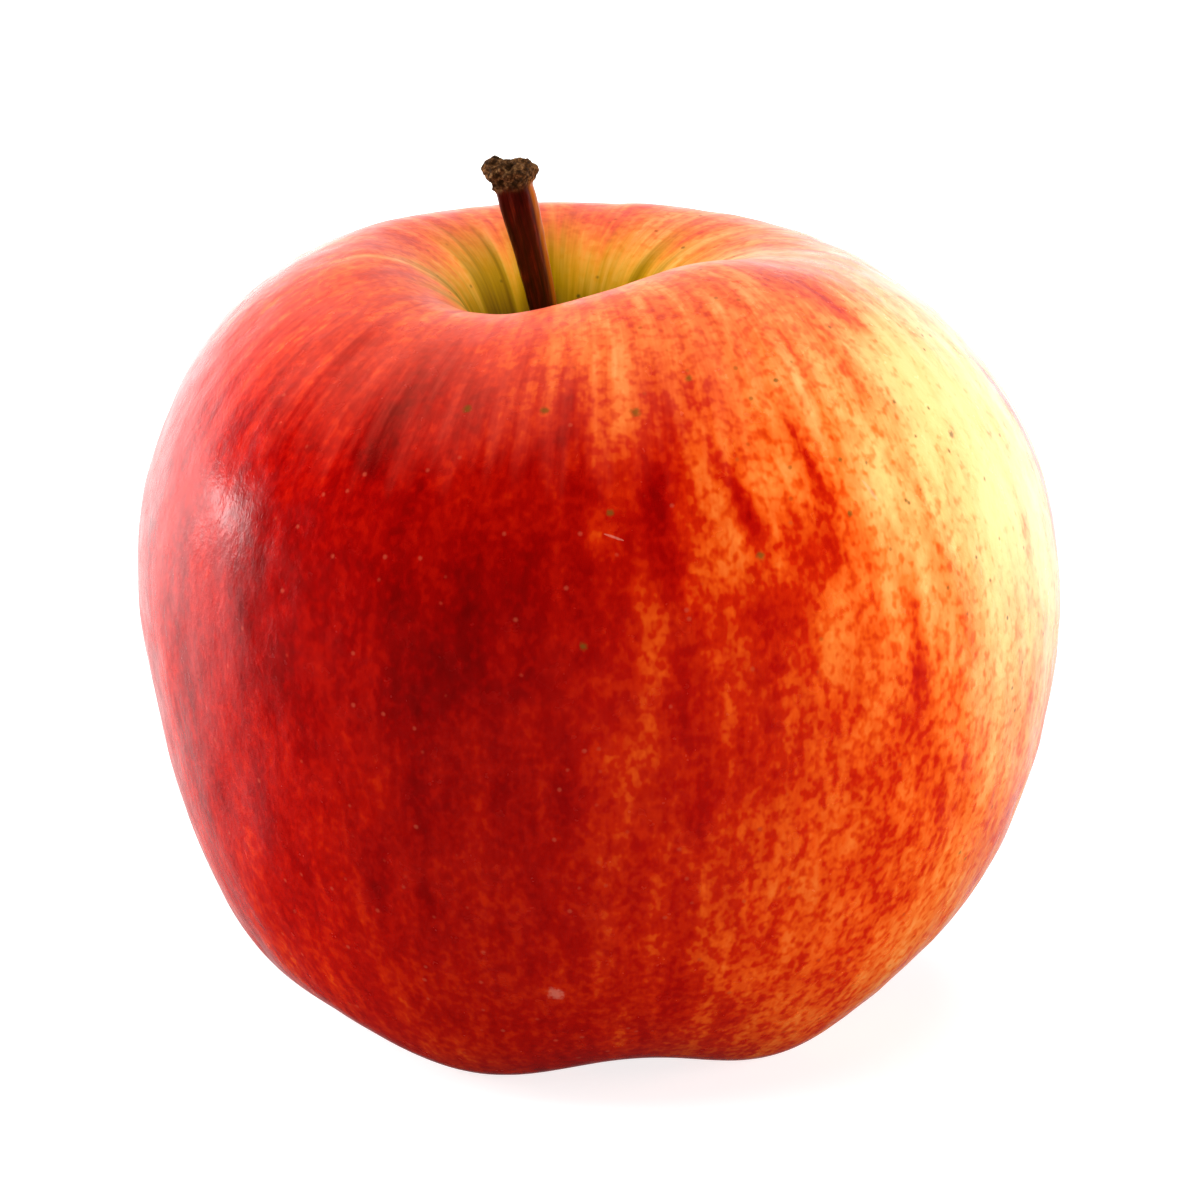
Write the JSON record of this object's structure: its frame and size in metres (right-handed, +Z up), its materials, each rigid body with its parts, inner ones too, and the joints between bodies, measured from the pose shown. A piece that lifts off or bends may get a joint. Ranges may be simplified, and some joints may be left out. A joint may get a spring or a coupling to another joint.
{
  "type": "red apple",
  "caption": "Whole ripe red apple with yellow-orange ground colour, standing on its base, with a leaning woody stem in its cavity and a dried calyx underneath.",
  "frame": {"origin": "on the ground plane, under the middle of the apple's box across and deep", "axes": "+Z up along the core towards the stem, -Y towards the front, +X to the right, the widest way"},
  "size_m": [0.0798, 0.0772, 0.0749],
  "materials": {
    "apple_skin": "gloss",
    "stem_bark": "satin",
    "dry_calyx": "matte"
  },
  "bodies": {
    "root": {"fruit": "apple_skin", "stem": "stem_bark", "calyx": "dry_calyx"}
  },
  "joints": []
}
